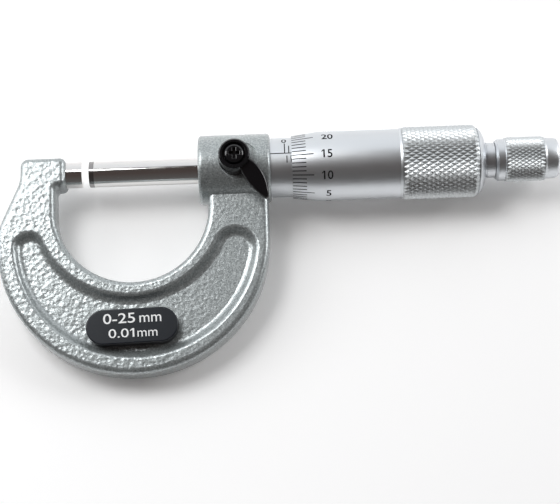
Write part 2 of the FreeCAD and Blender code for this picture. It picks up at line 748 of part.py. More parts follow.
# ---------------------------------------------------------------- ratchet stop
turned(
    "ratchet_body",
    [
        ("shank_x", None),
        ("axle_end_x", None),
        ("axle_end_x", "axle_r"),
        ("journal_end_x", "axle_r"),
        ("journal_end_x", "journal_r"),
        ("neck_end_x", "journal_r"),
        ("neck_end_x", "neck_r"),
        ("groove_end_x", "neck_r"),
        ("groove_end_x", "groove_r"),
        ("thimble_end_x", "groove_r"),
        ("thimble_end_x", "flange_r"),
        ("washer_end_x", "flange_r"),
        ("washer_end_x", "shank_r"),
        ("shank_x", "shank_r"),
    ],
)
turned(
    "ratchet_ring",
    [
        ("ring_x", "ring_bore_r"),
        ("knob_x", "ring_bore_r"),
        ("knob_x", "ring_r"),
        ("ring_edge_x", "ring_r"),
        ("ring_x", "ring_edge_r"),
    ],
)
turned(
    "ratchet_knob",
    [
        ("knob_x", "knob_cavity_r"),
        ("knob_cavity_x", "knob_cavity_r"),
        ("knob_cavity_x", None),
        ("knob_end_x", None),
        ("knob_end_x", "knob_end_r"),
        ("knob_round_x", "knob_round_r"),
        ("knob_cone_x", "knob_cone_r"),
        ("knob_grip_end_x", "knob_r"),
        ("knob_grip_x", "knob_r"),
        ("knob_x", "ring_r"),
    ],
)


def crown_teeth(body, name, face_x, backwards):
    """Cut the gaps between crown teeth into an end face of a disc."""
    sketch = new_sketch(body, name + "_gap", "YZ_Plane", face_x)
    draw_outline(
        sketch,
        [
            ("gap_near_y", "-gap_near_z"),
            ("gap_far_y", "-gap_far_z"),
            ("gap_far_y", "gap_far_z"),
            ("gap_near_y", "gap_near_z"),
        ],
    )
    cut = pocket(body, name + "_cut", sketch, "tooth_h", backwards)
    pattern = body.newObject("PartDesign::PolarPattern", name)
    pattern.Originals = [cut]
    pattern.Axis = (origin_plane(body, "X_Axis"), [""])
    pattern.Angle = 360
    pattern.setExpression("Occurrences", "dims.tooth_count")
    body.Tip = pattern


wheel = turned(
    "ratchet_wheel",
    [
        ("wheel_x", "axle_r"),
        ("wheel_root_x", "axle_r"),
        ("wheel_root_x", "tooth_hub_r"),
        ("wheel_end_x", "tooth_hub_r"),
        ("wheel_end_x", "wheel_r"),
        ("wheel_x", "wheel_r"),
    ],
)
crown_teeth(wheel, "wheel_teeth", "wheel_end_x", False)
pawl = turned(
    "ratchet_pawl",
    [
        ("pawl_root_x", "pawl_bore_r"),
        ("pawl_end_x", "pawl_bore_r"),
        ("pawl_end_x", "pawl_r"),
        ("pawl_x", "pawl_r"),
        ("pawl_x", "tooth_hub_r"),
        ("pawl_root_x", "tooth_hub_r"),
    ],
)
crown_teeth(pawl, "pawl_teeth", "pawl_x", True)
pawl.Placement = FreeCAD.Placement(V(), FreeCAD.Rotation(V(1, 0, 0), size("tooth_phase")))
pawl.setExpression("Placement.Rotation.Angle", "dims.tooth_phase")

coil = new_body("ratchet_spring")
wire = disc_sketch(coil, "wire_section", "XY_Plane", None, ("coil_x", "coil_r"), "coil_wire_r")
winding = coil.newObject("PartDesign::AdditiveHelix", "winding")
winding.Profile = (wire, [""])
winding.ReferenceAxis = (wire, ["H_Axis"])
winding.Mode = "pitch-height-angle"
winding.setExpression("Pitch", "dims.coil_pitch")
winding.setExpression("Height", "dims.coil_length")

# ---------------------------------------------------------------- spindle lock
for label, corners in {
    "lock_pad": [
        (None, "pad_low_z"),
        ("pad_r", "pad_low_z"),
        ("pad_r", "pad_top_z"),
        (None, "pad_top_z"),
    ],
    "lock_stem": [
        (None, "stem_low_z"),
        ("stem_r", "stem_low_z"),
        ("stem_r", "spot_z"),
        ("stem_neck_r", "spot_z"),
        ("stem_neck_r", "stem_top_z"),
        ("stem_tap_r", "stem_top_z"),
        ("stem_tap_r", "stem_tap_z"),
        (None, "stem_tap_z"),
    ],
}.items():
    turned(label, corners, along="Z").setExpression("Placement.Base.x", "dims.lock_x")

lever = new_body("lock_lever")
lever.setExpression("Placement.Base.x", "dims.lock_x")
arm = new_sketch(lever, "arm_outline", "XY_Plane", "lever_low_z")
draw_outline(
    arm,
    [
        (None, None),
        ("lever_back_x", "lever_back_y"),
        ("lever_tip_x", "lever_tip_y"),
        ("lever_side_x", "lever_side_y"),
    ],
    {1: ("lever_in_r", 1), 2: ("lever_out_r", 1)},
)
arm_pad = lever.newObject("PartDesign::Pad", "arm")
arm_pad.Profile = arm
arm_pad.setExpression("Length", "dims.lever_top_z - dims.lever_low_z")
doc.recompute()


def arm_point(edge):
    middle = edge.CenterOfMass
    return is_upright(edge) and abs(middle.y - size("lever_tip_y")) < 1e-3


fillet(lever, "arm_point_round", "lever_point_r", arm_point)
slope = new_sketch(lever, "slope_outline", "YZ_Plane")
slope.AttachmentOffset = FreeCAD.Placement(V(), FreeCAD.Rotation(V(0, 1, 0), size("lever_turn")))
slope.setExpression("AttachmentOffset.Rotation.Angle", "dims.lever_turn")
draw_outline(
    slope,
    [
        ("-lever_far_t", "lever_tip_z"),
        ("-lever_fold_t", "lever_top_z"),
        ("-lever_fold_t", "lever_clear_z"),
        ("-lever_far_t", "lever_clear_z"),
    ],
)
slope_cut = lever.newObject("PartDesign::Pocket", "arm_slope")
slope_cut.Profile = slope
slope_cut.SideType = "Symmetric"
slope_cut.Length = 60
arm_angle = math.radians(size("lever_turn"))


def along_arm(point):
    return point.x * math.sin(arm_angle) - point.y * math.cos(arm_angle)


def arm_top_edge(edge):
    stations = [along_arm(point) for point in ends_of(edge)]
    crosses_arm = max(stations) - min(stations) < 1e-3
    on_top = middle_of(edge).z > size("lever_low_z") + 0.9 and min(stations) > 0.5 * size("hub_r")
    return on_top and not crosses_arm and not is_upright(edge)


fillet(lever, "arm_round", "lever_edge_r", arm_top_edge)
revolve(
    lever,
    "hub",
    [
        (None, "hub_low_z"),
        ("hub_r", "hub_low_z"),
        ("hub_r", "hub_edge_z"),
        ("hub_edge_r", "hub_top_z"),
        (None, "hub_top_z"),
    ],
    along="Z",
)
revolve(
    lever,
    "hub_bore",
    [
        (None, "spot_z"),
        ("stem_neck_r", "spot_z"),
        ("stem_neck_r", "stem_socket_z"),
        ("hub_screw_r", "stem_socket_z"),
        ("hub_screw_r", "hub_socket_z"),
        ("hub_socket_r", "hub_socket_z"),
        ("hub_socket_r", "lever_clear_z"),
        (None, "lever_clear_z"),
    ],
    along="Z",
    cut=True,
)

screw = turned(
    "lock_screw",
    [
        (None, "screw_low_z"),
        ("screw_shank_r", "screw_low_z"),
        ("screw_shank_r", "hub_socket_z"),
        ("screw_head_r", "hub_socket_z"),
        ("screw_head_r", "screw_rim_z"),
        ("screw_flat_r", "screw_top_z"),
        (None, "screw_top_z"),
    ],
    {4: ("screw_dome_r", 1)},
    along="Z",
)
screw.setExpression("Placement.Base.x", "dims.lock_x")
cross = new_sketch(screw, "cross_outline", "XY_Plane", "screw_top_z")
draw_outline(
    cross,
    [
        ("cross_arm", "-cross_half"),
        ("cross_arm", "cross_half"),
        ("cross_half", "cross_half"),
        ("cross_half", "cross_arm"),
        ("-cross_half", "cross_arm"),
        ("-cross_half", "cross_half"),
        ("-cross_arm", "cross_half"),
        ("-cross_arm", "-cross_half"),
        ("-cross_half", "-cross_half"),
        ("-cross_half", "-cross_arm"),
        ("cross_half", "-cross_arm"),
        ("cross_half", "-cross_half"),
    ],
)
pocket(screw, "cross_recess", cross, "cross_depth")


def cross_top_edge(edge):
    return lies_at(edge, size("screw_top_z")) and isinstance(edge.Curve, Part.Line)


fillet(screw, "cross_round", "cross_edge_r", cross_top_edge)

# ---------------------------------------------------------------- label
label_body = new_body("label_plate")
stadium = new_sketch(label_body, "label_outline", "XY_Plane")
draw_outline(
    stadium,
    [
        ("-label_flat_x", "-label_half_w"),
        ("label_flat_x", "-label_half_w"),
        ("label_flat_x", "label_half_w"),
        ("-label_flat_x", "label_half_w"),
    ],
    {1: ("label_round", 1), 3: ("label_round", 1)},
)
label_pad = label_body.newObject("PartDesign::Pad", "label_slab")
label_pad.Profile = stadium
label_pad.setExpression("Length", "dims.label_t")


def label_top_edge(edge):
    return lies_at(edge, size("label_t"))


fillet(label_body, "label_edge_round", "label_edge", label_top_edge)
label_body.setExpression("Placement.Base.x", "dims.label_x")
label_body.setExpression("Placement.Base.y", "dims.label_y")
label_body.setExpression("Placement.Base.z", "dims.frame_half_t - dims.recess_depth")
label_body.Placement.Rotation = FreeCAD.Rotation(V(0, 0, 1), size("label_turn"))
label_body.setExpression("Placement.Rotation.Angle", "dims.label_turn")

# ---------------------------------------------------------------- write the parts
doc.recompute()
for item in doc.Objects:
    faults = {"Invalid", "Error"} & set(item.State)
    if faults:
        raise RuntimeError(f"{item.Name}: {sorted(faults)}")
for cut in doc.Objects:
    if cut.TypeId in ("PartDesign::Pocket", "PartDesign::Groove"):
        if cut.BaseFeature.Shape.Volume - cut.Shape.Volume < 0.01:
            raise RuntimeError(f"{cut.Name}: removes nothing")
os.makedirs("parts", exist_ok=True)
bodies = [item for item in doc.Objects if item.TypeId == "PartDesign::Body"]
for body in bodies:
    shape = body.Shape
    if shape.isNull() or not shape.isValid() or shape.Volume <= 0:
        raise RuntimeError(f"{body.Label}: bad shape")
    if len(shape.Solids) != 1:
        raise RuntimeError(f"{body.Label}: {len(shape.Solids)} solids")
for body in bodies:
    body.Shape.exportStep(f"parts/{body.Label}.step")
    print(f"{body.Label:16s} {body.Shape.Volume:10.3f} mm3")
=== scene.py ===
import math

import bmesh
import bpy
from mathutils import Matrix, Vector


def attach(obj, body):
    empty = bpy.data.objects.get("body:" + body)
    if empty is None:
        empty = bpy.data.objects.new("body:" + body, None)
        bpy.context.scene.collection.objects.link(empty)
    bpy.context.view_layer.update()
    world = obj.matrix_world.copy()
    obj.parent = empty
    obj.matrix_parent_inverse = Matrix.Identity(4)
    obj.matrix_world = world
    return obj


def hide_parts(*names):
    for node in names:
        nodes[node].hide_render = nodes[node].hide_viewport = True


MM = 0.001

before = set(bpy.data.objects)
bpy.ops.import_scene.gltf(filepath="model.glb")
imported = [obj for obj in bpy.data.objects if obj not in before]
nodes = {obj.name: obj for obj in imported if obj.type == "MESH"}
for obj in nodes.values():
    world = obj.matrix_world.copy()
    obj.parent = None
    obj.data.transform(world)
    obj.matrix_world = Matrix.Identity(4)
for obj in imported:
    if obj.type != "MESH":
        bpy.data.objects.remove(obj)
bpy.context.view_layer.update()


# ---------------------------------------------------------------- materials
def new_material(name, color, metallic=0.0, roughness=0.5, coat=0.0, specular=0.5):
    """Plain shader with the given finish."""
    material = bpy.data.materials.new(name)
    material.use_nodes = True
    shader = material.node_tree.nodes["Principled BSDF"]
    shader.inputs["Base Color"].default_value = (*color, 1)
    shader.inputs["Metallic"].default_value = metallic
    shader.inputs["Roughness"].default_value = roughness
    shader.inputs["Coat Weight"].default_value = coat
    shader.inputs["Coat Roughness"].default_value = 0.08
    shader.inputs["Specular IOR Level"].default_value = specular
    return material


def add(material, kind, **values):
    """New shader node with its inputs and properties set."""
    node = material.node_tree.nodes.new(kind)
    for key, value in values.items():
        if key in node.inputs:
            node.inputs[key].default_value = value
        else:
            setattr(node, key, value)
    return node


def link(material, source, target):
    """Wire one shader socket to another."""
    material.node_tree.links.new(source, target)


def place_vector(material, scale=(1, 1, 1)):
    """Row-frame position in metres, stretched."""
    coords = add(material, "ShaderNodeTexCoord")
    mapping = add(material, "ShaderNodeMapping")
    mapping.inputs["Scale"].default_value = scale
    link(material, coords.outputs["Object"], mapping.inputs["Vector"])
    return mapping.outputs["Vector"]


def ramp(material, source, stops):
    """Colour read from (position, colour) stops."""
    node = add(material, "ShaderNodeValToRGB")
    elements = node.color_ramp.elements
    while len(elements) < len(stops):
        elements.new(0.5)
    for element, (position, color) in zip(elements, stops):
        element.position = position
        element.color = (*color, 1)
    link(material, source, node.inputs["Fac"])
    return node.outputs["Color"]


def bump(material, height, distance, strength=1.0, below=None):
    """Normal disturbed by a height, on top of another disturbed normal if there is one."""
    node = add(material, "ShaderNodeBump")
    node.inputs["Strength"].default_value = strength
    node.inputs["Distance"].default_value = distance
    link(material, height, node.inputs["Height"])
    if below:
        link(material, below, node.inputs["Normal"])
    return node.outputs["Normal"]


def shader_of(material):
    """The surface shader of a material."""
    return material.node_tree.nodes["Principled BSDF"]


# enamel of the casting, in metres: its dimples are deep at the anvil and fade towards the barrel
DIMPLE_DEPTH = 0.0002
DIMPLE_WARP = 0.0009
DIMPLE_FADE_X = (0.012, 0.034)
DIMPLE_STRENGTH = (0.5, 0.15)
GRAIN_DEPTH = 0.00006


def hammertone():
    """Silver enamel that has drawn into small smooth dimples, with fine metallic grain."""
    m = new_material("hammertone", (0.38, 0.405, 0.405), metallic=0.6, roughness=0.34, coat=0.5)
    at = place_vector(m)
    warp = add(m, "ShaderNodeTexNoise", Scale=620.0, Detail=2.0, Roughness=0.5)
    link(m, at, warp.inputs["Vector"])
    bent = add(m, "ShaderNodeVectorMath", operation="MULTIPLY_ADD")
    bent.inputs[1].default_value = (DIMPLE_WARP, DIMPLE_WARP, DIMPLE_WARP)
    link(m, warp.outputs["Color"], bent.inputs[0])
    link(m, at, bent.inputs[2])
    cells = add(m, "ShaderNodeTexVoronoi", Scale=980.0, feature="SMOOTH_F1")
    cells.inputs["Smoothness"].default_value = 0.55
    link(m, bent.outputs["Vector"], cells.inputs["Vector"])
    fine = add(m, "ShaderNodeTexNoise", Scale=2600.0, Detail=3.0, Roughness=0.6)
    link(m, at, fine.inputs["Vector"])
    grains = [(0.32, (0.235, 0.258, 0.262)), (0.52, (0.365, 0.398, 0.402)), (0.7, (0.54, 0.575, 0.58))]
    tone = ramp(m, fine.outputs["Fac"], grains)
    link(m, tone, shader_of(m).inputs["Base Color"])
    across = add(m, "ShaderNodeSeparateXYZ")
    link(m, at, across.inputs["Vector"])
    fading = add(m, "ShaderNodeMapRange")
    fading.inputs["From Min"].default_value, fading.inputs["From Max"].default_value = DIMPLE_FADE_X
    fading.inputs["To Min"].default_value, fading.inputs["To Max"].default_value = DIMPLE_STRENGTH
    link(m, across.outputs["X"], fading.inputs["Value"])
    dimples = bump(m, cells.outputs["Distance"], DIMPLE_DEPTH)
    link(m, fading.outputs["Result"], dimples.node.inputs["Strength"])
    grain = bump(m, fine.outputs["Fac"], GRAIN_DEPTH, 0.5, dimples)
    link(m, grain, shader_of(m).inputs["Normal"])
    link(m, dimples, shader_of(m).inputs["Coat Normal"])
    return m


def turned_metal(name, color, roughness, ring_scale=5200.0, ring_depth=0.0000025, cloud=0.06):
    """Metal with fine rings about the measuring axis, its roughness varying by the cloud either way."""
    m = new_material(name, color, metallic=1.0, roughness=roughness)
    rings = add(m, "ShaderNodeTexNoise", Scale=1.0, Detail=4.0, Roughness=0.6)
    link(m, place_vector(m, (ring_scale, 60, 60)), rings.inputs["Vector"])
    clouds = add(m, "ShaderNodeTexNoise", Scale=180.0, Detail=3.0, Roughness=0.6)
    link(m, place_vector(m), clouds.inputs["Vector"])
    spread = add(m, "ShaderNodeMapRange")
    spread.inputs["To Min"].default_value = roughness - cloud
    spread.inputs["To Max"].default_value = roughness + cloud
    link(m, clouds.outputs["Fac"], spread.inputs["Value"])
    link(m, spread.outputs["Result"], shader_of(m).inputs["Roughness"])
    link(m, bump(m, rings.outputs["Fac"], ring_depth), shader_of(m).inputs["Normal"])
    return m


CASTING = hammertone()
GROUND = turned_metal("ground_steel", (0.8, 0.79, 0.78), 0.1, 7000.0, 0.0000012, 0.03)
CARBIDE = turned_metal("carbide", (0.34, 0.33, 0.33), 0.16, 7000.0, 0.0000012, 0.03)
SATIN = turned_metal("satin_chrome", (0.69, 0.715, 0.74), 0.38, 6000.0, 0.0000018, 0.03)
KNURLED = turned_metal("knurled_chrome", (0.6, 0.625, 0.635), 0.44, 6000.0, 0.000001, 0.04)
TURNED = turned_metal("turned_steel", (0.6, 0.6, 0.6), 0.26, 4000.0, 0.000004, 0.05)
SPRING = turned_metal("spring_steel", (0.5, 0.5, 0.51), 0.3)
BRASS = turned_metal("brass", (0.75, 0.55, 0.25), 0.25)
BLACK = new_material("black_oxide", (0.004, 0.004, 0.005), metallic=0.0, roughness=0.11, coat=0.2)
LABEL = new_material("label_black", (0.009, 0.012, 0.017), roughness=0.32, coat=0.08, specular=0.35)
INK = new_material("engraved_ink", (0.008, 0.008, 0.01), roughness=0.7, specular=0.1)
WHITE = new_material("label_ink", (0.85, 0.86, 0.86), roughness=0.55)

FINISHES = {
    "frame": CASTING,
    "anvil": GROUND,
    "anvil_tip": GROUND,
    "spindle": GROUND,
    "spindle_tip": CARBIDE,
    "inner_sleeve": TURNED,
    "sleeve": SATIN,
    "adjusting_nut": TURNED,
    "seat_washer": TURNED,
    "ratchet_body": SATIN,
    "ratchet_ring": SATIN,
    "ratchet_wheel": TURNED,
    "ratchet_pawl": TURNED,
    "ratchet_spring": SPRING,
    "lock_pad": BRASS,
    "lock_stem": TURNED,
    "lock_lever": BLACK,
    "lock_screw": BLACK,
    "label_plate": LABEL,
}
for node_name, finish in FINISHES.items():
    mesh = nodes[node_name].data
    mesh.materials.clear()
    mesh.materials.append(finish)


# ---------------------------------------------------------------- mesh helpers
def to_object(name, verts, faces, material, body, slot, smooth_angle=None):
    """Mesh given in millimetres in the row frame, riding on a body."""
    mesh = bpy.data.meshes.new(name)
    mesh.from_pydata([[c * MM for c in v] for v in verts], [], faces)
    mesh.validate()
    mesh.update()
    mesh.materials.append(material)
    if smooth_angle is not None:
        mesh.shade_smooth()
        mesh.set_sharp_from_angle(angle=math.radians(smooth_angle))
    piece = bpy.data.objects.new(name, mesh)
    bpy.context.scene.collection.objects.link(piece)
    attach(piece, body)
    return piece


def around(x, r, angle):
    """Point at an angle from +Z towards +Y about the measuring axis."""
    return (x, r * math.sin(angle), r * math.cos(angle))


def lathe(profile, segments):
    """Surface turned about X from (x, r) points; a radius of zero closes it with a fan."""
    verts, faces, rings = [], [], []
    for x, r in profile:
        if r < 1e-6:
            rings.append([len(verts)])
            verts.append((x, 0, 0))
        else:
            rings.append(range(len(verts), len(verts) + segments))
            verts += [around(x, r, 2 * math.pi * k / segments) for k in range(segments)]
    for low, high in zip(rings, rings[1:]):
        for k in range(segments):
            n = (k + 1) % segments
            if len(low) == 1:
                faces.append((low[0], high[k], high[n]))
            elif len(high) == 1:
                faces.append((low[k], high[0], low[n]))
            else:
                faces.append((low[k], high[k], high[n], low[n]))
    return verts, faces


def arc(start, end, radius, count):
    """Points of the convex arc between two profile points, both left out."""
    (x0, r0), (x1, r1) = start, end
    chord = math.hypot(x1 - x0, r1 - r0)
    side = math.sqrt(radius ** 2 - chord ** 2 / 4) / chord
    cx, cr = (x0 + x1) / 2 + (r1 - r0) * side, (r0 + r1) / 2 - (x1 - x0) * side
    a0, a1 = math.atan2(r0 - cr, x0 - cx), math.atan2(r1 - cr, x1 - cx)
    steps = [a0 + (a1 - a0) * k / (count + 1) for k in range(1, count + 1)]
    return [(cx + radius * math.cos(a), cr + radius * math.sin(a)) for a in steps]


KNURL_FLAT = 0.2
KNURL_OVERLAP = 0.2


def knurl(x0, x1, columns, pitches, crest, depth):
    """Band of diamond pyramids with small flat tops, closed down into the shell at both ends."""
    verts, faces, valley = [], [], {}
    step_x, step_a = (x1 - x0) / columns, math.pi / pitches

    def corner(i, j):
        key = (i, j % (2 * pitches))
        if key not in valley:
            valley[key] = len(verts)
            x = x0 + i * step_x
            verts.append(around(x, crest(x) - depth, key[1] * step_a))
        return valley[key]

    for i in range(columns + 1):
        for j in range(2 * pitches):
            if (i + j) % 2 == 0:
                continue
            sides = [(i + 1, j), (i, j + 1), (i - 1, j), (i, j - 1)]
            inside = [(a, b) for a, b in sides if 0 <= a <= columns]
            base = [corner(a, b) for a, b in inside]
            if len(base) < 4:
                faces.append(base)
                continue
            top = []
            for a, b in inside:
                top.append(len(verts))
                x = x0 + (i + (a - i) * KNURL_FLAT) * step_x
                verts.append(around(x, crest(x), (j + (b - j) * KNURL_FLAT) * step_a))
            faces.append(top[::-1])
            for k in range(4):
                n = (k + 1) % 4
                faces.append((base[n], base[k], top[k], top[n]))
    for i in (0, columns):
        x = x0 + i * step_x
        spots = [j for j in range(2 * pitches) if (i + j) % 2 == 0]
        ring = [corner(i, j) for j in spots]
        core = len(verts)
        verts += [around(x, crest(x) - depth - KNURL_OVERLAP, j * step_a) for j in spots]
        for k in range(len(spots)):
            n = (k + 1) % len(spots)
            faces.append((ring[k], ring[n], core + n, core + k))
    return verts, faces


def joined(*parts):
    """Several (verts, faces) as one."""
    verts, faces = [], []
    for more_verts, more_faces in parts:
        shift = len(verts)
        verts += list(more_verts)
        faces += [tuple(k + shift for k in face) for face in more_faces]
    return verts, faces


def fix_normals(piece):
    """Turn every face of a piece outwards."""
    work = bmesh.new()
    work.from_mesh(piece.data)
    bmesh.ops.recalc_face_normals(work, faces=work.faces)
    work.to_mesh(piece.data)
    work.free()


# ---------------------------------------------------------------- thimble and ratchet knob
# stations along the measuring axis and radii about it, in millimetres
EDGE_X, EDGE_R = 50.65, 7.56
CONE_X, BARREL_R = 57.1, 8.39
BORE_R = 7.32
SEAT_X, SEAT_R = 90.0, 3.81
SOCKET_R = 3.31
GRIP_START_X, GRIP_BEND_X, GRIP_END_X = 77.2, 94.4, 95.5
GRIP_R = 8.75
GRIP_CORE_R = GRIP_R - 0.5
GRIP_DEPTH = 0.27
GRIP_COLUMNS, GRIP_PITCHES = 18, 45
TAIL_X, TAIL_R = 97.2, 4.7
TAIL_BEND_R = 4.6
KNOB_START_X, KNOB_END_X = 102.2, 111.5
KNOB_R = 5.4
KNOB_CORE_R = KNOB_R - 0.4
KNOB_BORE_R = 4.3
KNOB_DEPTH = 0.22
KNOB_COLUMNS, KNOB_PITCHES = 12, 37
SMOOTH_ANGLE = 25

tail_round = arc((GRIP_BEND_X, GRIP_R), (TAIL_X, TAIL_R), TAIL_BEND_R, 24)


def grip_radius(x):
    """Radius of the thimble's grip and of its rounded end."""
    if x <= GRIP_BEND_X:
        return GRIP_R
    for (low_x, low_r), (high_x, high_r) in zip([(GRIP_BEND_X, GRIP_R)] + tail_round, tail_round):
        if x <= high_x:
            return low_r + (high_r - low_r) * (x - low_x) / (high_x - low_x)
    return TAIL_R


def knob_radius(x):
    """Radius of the ratchet knob's grip."""
    return KNOB_R


thimble_outline = [
    (SEAT_X, SEAT_R),
    (SEAT_X, BORE_R),
    (EDGE_X, BORE_R),
    (EDGE_X, EDGE_R),
    (CONE_X, BARREL_R),
    (76.55, BARREL_R),
    (76.7, 8.5),
    (77.1, 8.6),
    (77.25, GRIP_CORE_R),
    (GRIP_BEND_X, GRIP_CORE_R),
    (95.0, grip_radius(95.0) - 0.5),
    (GRIP_END_X - 0.05, grip_radius(GRIP_END_X) - 0.5),
    (GRIP_END_X, grip_radius(GRIP_END_X) - 0.1),
    *[point for point in tail_round if point[0] > GRIP_END_X],
    (TAIL_X, TAIL_R),
    (TAIL_X, SOCKET_R),
    (95.0, SOCKET_R),
    (SEAT_X, SEAT_R),
]
thimble_turned = lathe(thimble_outline, 160)
thimble = to_object("thimble_shell", *thimble_turned, SATIN, "screw", "satin_chrome", SMOOTH_ANGLE)
fix_normals(thimble)
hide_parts("thimble")
thimble_band = knurl(GRIP_START_X, GRIP_END_X, GRIP_COLUMNS, GRIP_PITCHES, grip_radius, GRIP_DEPTH)
thimble_grip = to_object("thimble_knurl", *thimble_band, KNURLED, "screw", "satin_chrome")
fix_normals(thimble_grip)

knob_outline = [
    (111.2, 0),
    (111.2, KNOB_BORE_R),
    (101.9, KNOB_BORE_R),
    (101.9, 5.03),
    (102.15, 5.28),
    (102.25, KNOB_CORE_R),
    (111.45, KNOB_CORE_R),
    (KNOB_END_X, 5.25),
    (112.0, 4.95),
    (114.3, 4.78),
    (114.62, 4.66),
    (114.83, 4.45),
    (114.9, 4.18),
    (114.9, 0),
]
knob_turned = lathe(knob_outline, 120)
knob = to_object("ratchet_knob_shell", *knob_turned, SATIN, "knob", "satin_chrome", SMOOTH_ANGLE)
fix_normals(knob)
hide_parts("ratchet_knob")
knob_band = knurl(KNOB_START_X, KNOB_END_X, KNOB_COLUMNS, KNOB_PITCHES, knob_radius, KNOB_DEPTH)
knob_grip = to_object("ratchet_knob_knurl", *knob_band, KNURLED, "knob", "satin_chrome")
fix_normals(knob_grip)


# ---------------------------------------------------------------- graduations and numbers
# the datum line's angle from +Z, the reading at rest and the marks' sizes in millimetres
DATUM = math.radians(10.6)
READING = 1.659
ZERO_X = EDGE_X - READING
THREAD_PITCH = 0.5
DIVISIONS = 50
SLEEVE_R = 7.2
SKIN = 0.012
LINE_WIDTH = 0.24
BEND_STEP = 0.2
MEASURING_RANGE = 25

# reaches on the thimble are from its edge, and those on the sleeve are around it from the datum line
MARK_START, SHORT_MARK, LONG_MARK = 0.05, 3.4, 5.2
THIMBLE_NUMBER_REACH, THIMBLE_NUMBER_H = 8.6, 2.15
DATUM_START_X, DATUM_END_X = 45.55, 74.9
HALF_MARK = (-2.4, -0.65)
WHOLE_MARK = (0, 2.2)
FIFTH_MARK = (0, 3.1)
SLEEVE_NUMBER_REACH, SLEEVE_NUMBER_H = 4.3, 1.75
SLEEVE_NUMBER_SHIFT = -0.15


def cone_radius(x):
    """Outer radius of the thimble at a station."""
    if x >= CONE_X:
        return BARREL_R
    return EDGE_R + (BARREL_R - EDGE_R) * (x - EDGE_X) / (CONE_X - EDGE_X)


def sleeve_radius(x):
    """Outer radius of the sleeve."""
    return SLEEVE_R


def strip(points_low, points_high):
    """Ribbon between two rows of points."""
    count = len(points_low)
    verts = list(points_low) + list(points_high)
    faces = [(k, k + 1, count + k + 1, count + k) for k in range(count - 1)]
    return verts, faces


def line_along(x0, x1, angle, radius):
    """Line parallel to the axis on a turned surface."""
    rows = []
    for side in (-LINE_WIDTH / 2, LINE_WIDTH / 2):
        rows.append([around(x, radius(x) + SKIN, angle + side / radius(x)) for x in (x0, x1)])
    return strip(*rows)


def line_around(x, angle0, angle1, radius):
    """Line around the axis on a turned surface."""
    steps = max(2, int(abs(angle1 - angle0) / math.radians(3)) + 1)
    angles = [angle0 + (angle1 - angle0) * k / steps for k in range(steps + 1)]
    rows = []
    for side in (-LINE_WIDTH / 2, LINE_WIDTH / 2):
        rows.append([around(x + side, radius + SKIN, a) for a in angles])
    return strip(*rows)


def connected(start):
    """Vertices joined to a vertex by edges, itself among them."""
    island, front = {start}, [start]
    while front:
        for edge in front.pop().link_edges:
            for vert in edge.verts:
                if vert not in island:
                    island.add(vert)
                    front.append(vert)
    return island


def flag_ones(work, height):
    """Add the short sloping stroke that a numeral one, a plain bar in this font, lacks."""
    seen = set()
    for start in list(work.verts):
        if start in seen:
            continue
        island = connected(start)
        seen |= island
        xs = [v.co.x for v in island]
        ys = [v.co.y for v in island]
        tall = max(ys) - min(ys)
        if tall > 0.9 * height and max(xs) - min(xs) < 0.3 * tall:
            left, top, reach = min(xs), max(ys), 0.2 * height
            outer = left - reach
            drops = [(left, 0), (outer, reach), (outer, 1.6 * reach), (left, 0.8 * reach)]
            work.faces.new([work.verts.new((x, top - drop, 0)) for x, drop in drops])


FONT_CAPITAL = 0.729


def text_outline(words, height, stretch=1.0, bold=0.0):
    """Flat mesh of some text in millimetres, centred, with capitals of the given height."""
    curve = bpy.data.curves.new("letters", "FONT")
    curve.body = words
    curve.offset = bold
    curve.resolution_u = 6
    holder = bpy.data.objects.new("letters", curve)
    bpy.context.scene.collection.objects.link(holder)
    bpy.context.view_layer.update()
    filled = holder.evaluated_get(bpy.context.evaluated_depsgraph_get())
    mesh = bpy.data.meshes.new_from_object(filled)
    work = bmesh.new()
    work.from_mesh(mesh)
    bpy.data.objects.remove(holder)
    bpy.data.curves.remove(curve)
    bpy.data.meshes.remove(mesh)
    xs = [v.co.x for v in work.verts]
    scale = height / FONT_CAPITAL
    middle = (min(xs) + max(xs)) / 2
    for v in work.verts:
        v.co.x = (v.co.x - middle) * scale * stretch
        v.co.y = (v.co.y - FONT_CAPITAL / 2) * scale
    flag_ones(work, height)
    return work


def on_turned(words, height, x, angle, radius, **options):
    """Text wrapped onto a turned surface, reading along +X, cut into bands so that it can bend."""
    work = text_outline(words, height, **options)
    level = -height
    while level < height:
        everything = work.verts[:] + work.edges[:] + work.faces[:]
        bmesh.ops.bisect_plane(work, geom=everything, plane_co=(0, level, 0), plane_no=(0, 1, 0))
        level += BEND_STEP
    work.verts.index_update()
    verts = []
    for v in work.verts:
        r = radius(x + v.co.x)
        verts.append(around(x + v.co.x, r + SKIN, angle + v.co.y / r))
    faces = [tuple(v.index for v in face.verts) for face in work.faces]
    work.free()
    return verts, faces


turns_from_zero = READING / THREAD_PITCH % 1
thimble_marks = []
for division in range(DIVISIONS):
    angle = DATUM + 2 * math.pi * (division / DIVISIONS - turns_from_zero)
    is_long = division % 5 == 0
    reach = LONG_MARK if is_long else SHORT_MARK
    thimble_marks.append(line_along(EDGE_X + MARK_START, EDGE_X + reach, angle, cone_radius))
    if is_long:
        x = EDGE_X + THIMBLE_NUMBER_REACH
        number = on_turned(str(division), THIMBLE_NUMBER_H, x, angle, cone_radius, stretch=0.96, bold=0.014)
        thimble_marks.append(number)
to_object("thimble_scale", *joined(*thimble_marks), INK, "screw", "satin_chrome")

